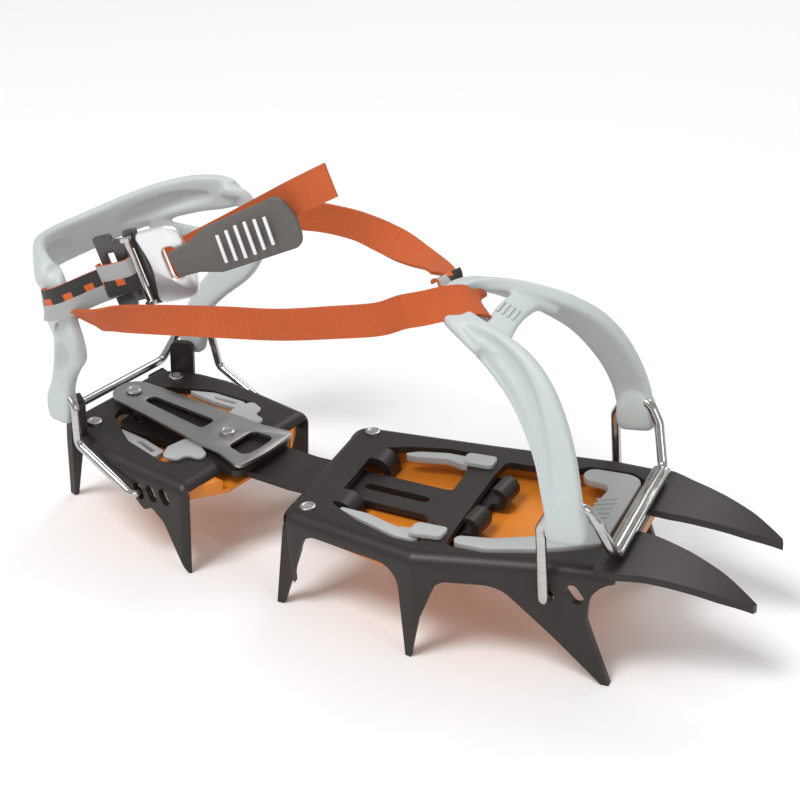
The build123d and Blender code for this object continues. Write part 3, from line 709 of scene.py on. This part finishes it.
class CRAMPON_OT_toe_harness(bpy.types.Operator):
    """Mould the toe harness: an arch from foot to foot with a strap ring at its top"""
    bl_idname = "crampon.toe_harness"
    bl_label = "Toe harness"

    def execute(self, context):
        half = [(120.9, 48.8, 17.0, 14, 6.0), (120.4, 48.8, 25, 16.0, 6.2),
                (118.6, 48.0, 36, 16.5, 6.2),
                (115, 44.2, 49, 17.0, 6.4), (109.5, 39.8, 61, 17.8, 6.8), (102.5, 35, 71, 18, 6.8),
                (93.5, 30, 78.5, 17.2, 6.8), (83, 25.5, 84, 14.5, 6.8), (72, 21, 88.2, 12, 6.6),
                (63, 15.5, 91, 10.5, 6.4), (58, 8, 92.4, 9.6, 6.0), (57, 0, 92.8, 9.6, 6.0)]
        whole = half + mirrored(half[-2::-1])
        arch = limb(FRONT, whole, (1, 0, 0.05))
        cross = limb(FRONT, [(86, 29, 81.5, 20, 4.6), (82.5, 21, 84, 13, 4.4),
                             (81, 10, 85.3, 12, 4.2),
                             (80.6, 0, 85.8, 12, 4.2), (81, -10, 85.3, 12, 4.2),
                             (82.5, -21, 84, 13, 4.4), (86, -29, 81.5, 20, 4.6)], (1, 0, -0.5))
        parts = [arch, cross]
        for side in (-1, 1):
            pad = [(121.2, 48.8, 15.6, 13, 7.4), (121.1, 48.8, 17.2, 16.4, 9.2),
                   (121.0, 48.8, 22, 17.6, 10), (120.7, 48.8, 28, 15.5, 9.8),
                   (120.1, 48.6, 33, 8.5, 8.6), (119.6, 48.4, 36, 3.0, 7.0)]
            parts.append(limb(FRONT, mirrored(pad, side), (1, 0, 0)))
        piece = melted(parts, "toe_harness_moulding", 3)
        for side in (-1, 1):
            groove = [(71, side * 24.0, 90.5, 1.4, 0.6), (82, side * 29.6, 87.0, 4.2, 2.6),
                      (92, side * 34.4, 80.8, 5.0, 3.6), (100, side * 39.6, 72.5, 5.0, 3.8),
                      (106.0, side * 44.4, 61.0, 4.4, 3.4), (110.4, side * 48.6, 49, 3.4, 2.6),
                      (113.6, side * 51.6, 37, 2.2, 1.4), (115.0, side * 52.0, 30, 1.0, 0.5)]
            press_groove(piece, FRONT, groove, (0.15, side, 0.75), sharp=0.38)
        finish_piece(piece, "toe_harness_moulding", "toe_bail", "harness_grey", harness_skin(),
                     smooth=70, replaces=("toe_harness",))
        bars = [bar_solid(FRONT, (80.8 + dx * 0.88, 0, 88.3 - dx * 0.42), (0.9, 9.5, 0.8),
                          turned(25, "Y"), 0.25) for dx in (-3.6, -1.2, 1.2, 3.6)]
        finish_piece(joined("toe_ribs", bars), "toe_ribs", "toe_bail", "harness_grey",
                     harness_skin())
        return {"FINISHED"}


class CRAMPON_OT_heel_harness(bpy.types.Operator):
    """Mould the heel harness: two legs, two strap struts and the ring round the boot"""
    bl_idname = "crampon.heel_harness"
    bl_label = "Heel harness"

    def execute(self, context):
        parts = []
        for side in (-1, 1):
            leg = [(-3.4, 43.8, 9.5, 11, 6.2), (-2.8, 43.8, 18, 13, 6.8), (-0.8, 44.2, 27, 12, 6.4),
                   (2.8, 45.6, 36, 12.5, 6.4), (9.6, 49.8, 46, 14.5, 6.6),
                   (17.5, 55.2, 56, 17, 7.0),
                   (22.0, 59, 65, 15, 6.6), (23.0, 60.2, 73, 9.5, 6.0), (21.0, 60.5, 82, 9, 5.6),
                   (15, 59.4, 90, 10, 5.6), (8, 56.5, 93, 10, 5.4)]
            parts.append(limb(HEEL, mirrored(leg, side),
                              (1, 0, -0.35)))
            lower = [(22, 59, 62, 8, 5), (14, 57.6, 64.5, 7.5, 4.8), (4, 52.6, 67, 7, 4.6),
                     (-8, 44, 70, 6.6, 4.4), (-17, 32, 74, 8, 4.4)]
            parts.append(limb(HEEL, mirrored(lower, side), (0, 0, 1)))
            pad = [(-3.0, 43.9, 7.6, 9, 6.0), (-3.0, 43.9, 9.6, 13, 7.4),
                   (-2.8, 43.9, 16, 14.6, 8.4),
                   (-2.4, 44, 22, 13, 8.2), (-1.8, 44, 27, 8, 7.2), (-1.2, 44.2, 30, 3, 6.0)]
            parts.append(limb(HEEL, mirrored(pad, side), (1, 0, 0)))
        half = [(13, 58.5, 90, 13, 5.4), (6, 56, 89.6, 17, 5.8), (-4, 49.4, 88.2, 18.6, 6),
                (-15, 37.5, 85, 19, 6), (-22, 22.5, 82, 19, 6), (-25, 8, 80.3, 19, 6),
                (-25.4, 0, 80, 19, 6)]
        whole = half + mirrored(half[-2::-1])
        parts.append(limb(HEEL, whole, (0, 0, 1)))
        piece = melted(parts, "heel_harness_moulding", 4)
        for side in (-1, 1):
            inner = [(2, side * 50.4, 88, 2.6, 1.2), (-8, side * 41.2, 86, 4.2, 2.8),
                     (-15.0, side * 30.5, 83.5, 4.2, 2.8), (-19, side * 18, 81.5, 2.6, 1.2)]
            press_groove(piece, HEEL, inner, (1, -side * 0.6, 0), sharp=0.45)
            outer = [(3.5, side * 49.0, 38, 2.0, 0.8), (9.4, side * 53.4, 46, 3.4, 2.2),
                     (16, side * 58.6, 54, 3.6, 2.4), (20, side * 62, 61, 2.2, 0.9)]
            press_groove(piece, HEEL, outer, (0, side, 0.1), sharp=0.45)
        finish_piece(piece, "heel_harness_moulding", "heel_bail", "harness_grey", harness_skin(),
                     smooth=70, replaces=("heel_harness",))
        bars = [bar_solid(HEEL, (-8.8 + k * 1.5, -44.8 - k * 1.75, 88.2 + k * 0.25),
                          (0.9, 0.9, 7.5), turned(47, "Z"), 0.25) for k in range(4)]
        finish_piece(joined("heel_ribs", bars), "heel_ribs", "heel_bail", "harness_grey",
                     harness_skin())
        return {"FINISHED"}


# ---------------------------------------------------------------- webbing
def strip(place, rows, steps=8, span=None, leads=0):
    """A length of woven strap along rows of x, y, z and its across direction.

    Its first face is on the side of (direction of travel) x (across). A span keeps only
    the part between two distances along the run, in metres; leads is the number of rows at
    each end that only steer the run.
    """
    run = catmull(rows, steps)
    points = [place @ Vector(r[:3]) for r in run]
    reach = [0.0]
    for a, b in zip(points, points[1:]):
        reach.append(reach[-1] + (b - a).length)
    first, last = span or (reach[leads * steps], reach[-1 - leads * steps])
    headings = [(points[min(i + 1, len(points) - 1)] - points[max(i - 1, 0)]).normalized()
                for i in range(len(points))]
    cells = max(8, int((last - first) / sizes().rib_pitch * CELLS_PER_RIB))
    clear_selection()
    bpy.ops.mesh.primitive_grid_add(x_subdivisions=cells, y_subdivisions=CELLS_ACROSS, size=2,
                                    calc_uvs=True)
    piece = bpy.context.object
    turn3 = place.to_3x3().normalized()
    station = 0
    flat = piece.data
    order = sorted(range(len(flat.vertices)), key=lambda i: flat.vertices[i].co.x)
    share_of = {}
    for i in order:
        vert = flat.vertices[i]
        share_of[i] = ((vert.co.x + 1) / 2, (vert.co.y + 1) / 2)
    for i in order:
        along, side = share_of[i]
        distance = first + along * (last - first)
        while station < len(reach) - 2 and reach[station + 1] < distance:
            station += 1
        t = (distance - reach[station]) / max(1e-9, reach[station + 1] - reach[station])
        centre = points[station].lerp(points[station + 1], t)
        across = Vector(run[station][3:6]).lerp(Vector(run[station + 1][3:6]), t)
        across = (turn3 @ across).normalized()
        ahead = headings[station].lerp(headings[station + 1], t).normalized()
        across = (across - ahead * across.dot(ahead)).normalized()
        normal = ahead.cross(across)
        rib = math.sin(2 * math.pi * distance / sizes().rib_pitch) * sizes().rib_depth / 2
        edge = 1 - max(0.0, abs(side - 0.5) * 2 - RIBBED_SHARE) / (1 - RIBBED_SHARE)
        flat.vertices[i].co = (centre + across * (side - 0.5) * STRAP_WIDE * MM
                               + normal * rib * edge)
    uv = flat.uv_layers[0].data
    for loop in flat.loops:
        along, side = share_of[loop.vertex_index]
        uv[loop.index].uv = (first + along * (last - first), side)
    return piece


def woven(piece, name, body, replaces=()):
    """Thickness, both faces' colours and smooth shading for a strip of strap."""
    for _ in range(3):
        piece.data.materials.append(None)
    modify(piece, "SOLIDIFY", thickness=sizes().strap_thick, offset=0,
           material_offset=1, material_offset_rim=2)
    for slot_index, entry in enumerate((material(ribbed_webbing), material(two_tone_webbing),
                                        material(ribbed_webbing))):
        piece.data.materials[slot_index] = entry
    piece.name = name
    piece.data.name = name
    pick(piece)
    bpy.ops.object.shade_smooth_by_angle(angle=math.radians(50))
    if body:
        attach(piece, body)
    if replaces:
        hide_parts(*replaces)
    return piece


def common(place, point):
    """A point of a section, in millimetres of the common frame."""
    return tuple(TO_METRES.inverted() @ place @ Vector(point))


def local(place, point):
    """A point of the common frame, in millimetres of a section."""
    return tuple(place.inverted() @ TO_METRES @ Vector(point))


class CRAMPON_OT_webbing(bpy.types.Operator):
    """Weave the strap, piece by piece along its route"""
    bl_idname = "crampon.webbing"
    bl_label = "Webbing"

    def strand(self, side, rows, beyond, cad_node):
        """One long strand in three lengths, each bending across one joint.

        The row beyond only steers the strand's end.
        """
        run = catmull(rows + [beyond], STRAND_STEPS)
        reach = [0.0]
        for a, b in zip(run, run[1:]):
            reach.append(reach[-1] + (Vector(b[:3]) - Vector(a[:3])).length * MM)
        marks = [0] + [next(i for i, row in enumerate(run) if row[0] > cut)
                       for cut in STRAND_CUTS] + [len(run) - 1 - STRAND_STEPS]
        joints = (("heel_bail", "heel_section"), ("heel_section", "front_section"),
                  ("front_section", "toe_bail"))
        for k, bodies in enumerate(joints):
            lo, hi = marks[k], marks[k + 1]
            piece = strip(COMMON, run, steps=1, span=(reach[lo], reach[hi]))
            name = f"{side}_strand_{k + 1}"
            woven(piece, name, None, replaces=(cad_node,) if k == 1 else ())
            start, end = Vector(run[lo][:3]) * MM, Vector(run[hi][:3]) * MM
            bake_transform(piece, *bodies, start=start, end=end)

    def execute(self, context):
        right = [(*common(HEEL, (22.0, -57.4, 76.4)), 0.34, -0.80, 0.5),
                 (*common(HEEL, (31, -58.6, 77.0)), 0.34, -0.74, 0.58),
                 (-86, -51, 80.2, 0.28, -0.52, 0.80), (-72, -50, 83.0, 0.12, -0.20, 0.97),
                 (-35, -43, 85.5, 0, -0.02, 1), (-10, -37, 86.3, 0, -0.02, 1),
                 (12, -31.5, 89.0, 0, 0.05, 1), (30, -27.5, 92.0, 0, 0.1, 1),
                 (*common(FRONT, (44, -23.5, 93.0)), -0.05, 0.2, 0.97)]
        after_right = (*common(FRONT, (52, -20.5, 94.4)), -0.1, 0.32, 0.93)
        self.strand("right", right, after_right, "strap_right_strand")
        left = [(*common(HEEL, (25, 57.5, 80)), 0, 0.1, 1),
                (*common(HEEL, (40, 59.5, 82)), 0, 0.1, 1),
                (-66, 62, 86.5, 0, 0.05, 1), (-40, 60, 91, 0, 0.0, 1), (-18, 52.5, 94, 0, 0.05, 1),
                (-4, 45, 95.4, 0, 0.3, 1), (10, 37.6, 95.6, 0.1, 0.7, 0.7),
                (22, 31, 95.0, 0.25, 0.9, 0.3), (34, 25.5, 94.0, 0.35, 0.92, -0.1),
                (*common(FRONT, (46, 18.5, 91.6)), 0.4, 0.9, -0.3)]
        after_left = (*common(FRONT, (51, 14, 89.2)), 0.45, 0.88, -0.15)
        self.strand("left", left, after_left, "strap_left_strand")
        before = (*local(FRONT, (30, -27.5, 92)), -0.05, 0.1, 1)
        after = (*local(FRONT, (34, 25.5, 94.0)), -0.35, 0.92, 0.1)
        loop = [before, (44, -23.5, 93.0, -0.05, 0.2, 0.97), (52, -20.5, 94.4, -0.1, 0.32, 0.93),
                (60.5, -17.0, 96.2, -0.2, 0.5, 0.82), (68, -13, 96.6, -0.35, 0.75, 0.55),
                (71.5, -7, 92.6, -0.6, 0.8, 0.1), (66, 0.5, 88.4, -0.5, 0.86, 0),
                (57, 8.5, 87.6, -0.5, 0.86, 0), (51, 14, 89.2, -0.45, 0.88, 0.15),
                (46, 18.5, 91.6, -0.4, 0.9, 0.3), after]
        woven(strip(FRONT, loop, leads=1), "toe_loop", "toe_bail", ("strap_toe_loop",))
        anchor = [(43, -49.5, 95.6, -0.25, -0.02, 1), (36, -55.4, 91.8, -0.3, -0.02, 1),
                  (29.5, -61.2, 87.8, -0.3, -0.02, 1), (23, -65.2, 84.0, -0.2, -0.02, 1),
                  (17.0, -66.0, 81.4, -0.1, -0.02, 1), (13.6, -63.6, 80.0, 0, 0, 1),
                  (14.0, -59.6, 79, 0, 0, 1), (18, -57.4, 77.6, 0.2, -0.3, 0.9),
                  (22.0, -57.4, 76.4, 0.3, -0.7, 0.6)]
        woven(strip(HEEL, anchor), "anchor", "heel_bail",
              ("strap_anchor", "strap_heel_wrap"))
        cross = [(24, 57.5, 80, 0, 0.1, 1), (34, 52, 83, 0, 0.1, 1), (43, 32, 88, 0, 0.1, 1),
                 (47.5, 8, 92, 0, 0.1, 1), (53, -16, 95.5, 0, 0.05, 1), (57, -27, 98, 0, 0, 1)]
        woven(strip(HEEL, cross), "cross", "heel_bail", ("strap_cross",))
        tail = [(52, -27.0, 98.5, -0.6, 0.1, 0.8), (62, -24.5, 105.5, -0.6, 0.1, 0.8),
                (76, -21.5, 115.5, -0.6, 0.1, 0.8), (92, -19.5, 127.0, -0.6, 0.1, 0.8),
                (112, -18.5, 141.5, -0.6, 0.1, 0.8), (131, -18, 154.6, -0.6, 0.1, 0.8)]
        woven(strip(HEEL, tail), "tail", "heel_bail", ("strap_tail",))
        return {"FINISHED"}


# ---------------------------------------------------------------- buckle
class CRAMPON_OT_buckle(bpy.types.Operator):
    """Make the buckle: notched plate, pin bracket, keeper and ring"""
    bl_idname = "crampon.buckle"
    bl_label = "Buckle"

    def execute(self, context):
        plate = dressed("buckle_plate", 0.0003)
        finish_piece(plate, "notched_plate", "heel_bail", "buckle_dark",
                     material(dark_plate), replaces=("buckle_plate",))
        bracket = dressed("buckle_bracket", 0.0003)
        finish_piece(bracket, "pin_bracket", "heel_bail", "bright_steel", material(polished_wire),
                     replaces=("buckle_bracket",))
        ring = dressed("buckle_ring", 0.0007, 3)
        finish_piece(ring, "ring", "ring", "buckle_bright", material(blasted_metal),
                     replaces=("buckle_ring",))
        keeper = [(-9.6, -4.0, 0, 0, 0, -1), (-9.4, -6.6, 0, 0, 0, -1), (-7, -7.9, 0, 0, 0, -1),
                  (0, -8.2, 0, 0, 0, -1), (4.6, -7.4, 0, 0, 0, -1), (5.6, -4.2, 0, 0, 0, -1)]
        woven(strip(BUCKLE, keeper), "keeper", "heel_bail", ("strap_keeper",))
        return {"FINISHED"}


def dark_plate():
    """Dark brushed plate."""
    finish = Finish("dark plate", metallic=0.8)
    brush = finish.speckle(30, 5, (90, 12, 12))
    finish.set({"base_color": finish.mix(brush, (0.085, 0.085, 0.085), (0.14, 0.14, 0.14)),
                "roughness": brush * 0.2 + 0.30})
    return finish.material


def tab_rubber():
    """Warm grey rubber."""
    base = tuple(colours().tab)
    finish = Finish("tab rubber")
    clouds = finish.speckle(60, 4)
    grain = finish.speckle(1800, 2)
    finish.set({"base_color": finish.mix(clouds, shade(base, 0.9), shade(base, 1.1)),
                "roughness": clouds * 0.14 + 0.5})
    finish.bump(grain, 0.35, 0.00008)
    return finish.material


class CRAMPON_OT_pull_tab(bpy.types.Operator):
    """Make the pull tab with its grip ribs"""
    bl_idname = "crampon.pull_tab"
    bl_label = "Pull tab"

    def execute(self, context):
        tab = dressed("pull_tab", 0.0007, 3)
        finish_piece(tab, "tab", "tab", "tab_grey", material(tab_rubber), replaces=("pull_tab",))
        lean = BUCKLE @ Matrix.Translation((25.0, -7.2, 0)) @ turned(-8, "Y")
        ribs = [bar_solid(lean, (26 + k * 4.6, -2.6, 0), (1.5, 0.7, 15 - abs(k - 2.5) * 1.1),
                          turned(9, "Y"), 0.3) for k in range(6)]
        finish_piece(joined("tab_ribs", ribs), "tab_ribs", "tab", "tab_grey",
                     material(plastic, "pale grip", (0.78, 0.78, 0.77)))
        return {"FINISHED"}


# ---------------------------------------------------------------- studio
class CRAMPON_OT_studio(bpy.types.Operator):
    """Lay the floor and set the lights and the camera"""
    bl_idname = "crampon.studio"
    bl_label = "Studio"

    def execute(self, context):
        scene = context.scene
        clear_selection()
        floor_height = CAD_BOX[0].z
        bpy.ops.mesh.primitive_plane_add(size=30, location=(0, 0, floor_height - 0.0002))
        floor = context.object
        floor.name = "floor"
        paint = Finish("floor", base_color=(0.90, 0.90, 0.90), roughness=0.9)
        floor.data.materials.append(paint.material)
        scene.world = scene.world or bpy.data.worlds.new("studio")
        scene.world.use_nodes = True
        sky = scene.world.node_tree.nodes["Background"]
        sky.inputs["Color"].default_value = (1.0, 1.0, 1.0, 1)
        sky.inputs["Strength"].default_value = 0.50
        scene.view_settings.view_transform = "Standard"
        for lamp in LAMPS:
            self.lamp(*lamp)
        data = bpy.data.cameras.new("camera")
        data.sensor_width = SENSOR
        data.lens = LENS
        camera = bpy.data.objects.new("camera", data)
        scene.collection.objects.link(camera)
        azimuth, elevation, roll = CAMERA_TURNS
        camera.matrix_world = (Matrix.Translation(CAMERA_PLACE)
                               @ turned(azimuth, "Z") @ turned(90 - elevation, "X")
                               @ turned(roll, "Z"))
        scene.camera = camera
        return {"FINISHED"}

    def lamp(self, name, place, power, size):
        """A large soft lamp that looks at the crampon."""
        data = bpy.data.lights.new(name, "AREA")
        data.energy = power
        data.size = size
        lamp = bpy.data.objects.new(name, data)
        bpy.context.scene.collection.objects.link(lamp)
        lamp.location = place
        lamp.rotation_euler = (Vector((0, 0, 0.03)) - Vector(place)).to_track_quat(
            "-Z", "Y").to_euler()


class CRAMPON_PT_panel(bpy.types.Panel):
    """Lists the steps in order"""
    bl_label = "Crampon"
    bl_idname = "CRAMPON_PT_panel"
    bl_space_type = "VIEW_3D"
    bl_region_type = "UI"
    bl_category = "Crampon"

    def draw(self, context):
        for settings in (context.scene.crampon_sizes, context.scene.crampon_colours):
            box = self.layout.box()
            for key in settings.__annotations__:
                box.prop(settings, key)
        for step in STEPS:
            self.layout.operator(step.bl_idname)


STEPS = (CRAMPON_OT_studio, CRAMPON_OT_frames, CRAMPON_OT_wires, CRAMPON_OT_rivets,
         CRAMPON_OT_adjuster, CRAMPON_OT_snow_plates, CRAMPON_OT_toe_harness,
         CRAMPON_OT_heel_harness, CRAMPON_OT_webbing, CRAMPON_OT_buckle, CRAMPON_OT_pull_tab)
CLASSES = (CramponSizes, CramponColours) + STEPS + (CRAMPON_PT_panel,)


def register():
    """Register the settings, the steps and the panel."""
    for entry in CLASSES:
        bpy.utils.register_class(entry)
    bpy.types.Scene.crampon_sizes = bpy.props.PointerProperty(type=CramponSizes)
    bpy.types.Scene.crampon_colours = bpy.props.PointerProperty(type=CramponColours)


def unregister():
    """Take everything out again."""
    del bpy.types.Scene.crampon_colours
    del bpy.types.Scene.crampon_sizes
    for entry in reversed(CLASSES):
        bpy.utils.unregister_class(entry)


def main():
    """Run every step in order."""
    register()
    for step in STEPS:
        group, action = step.bl_idname.split(".")
        getattr(getattr(bpy.ops, group), action)()


if __name__ == "__main__":
    main()
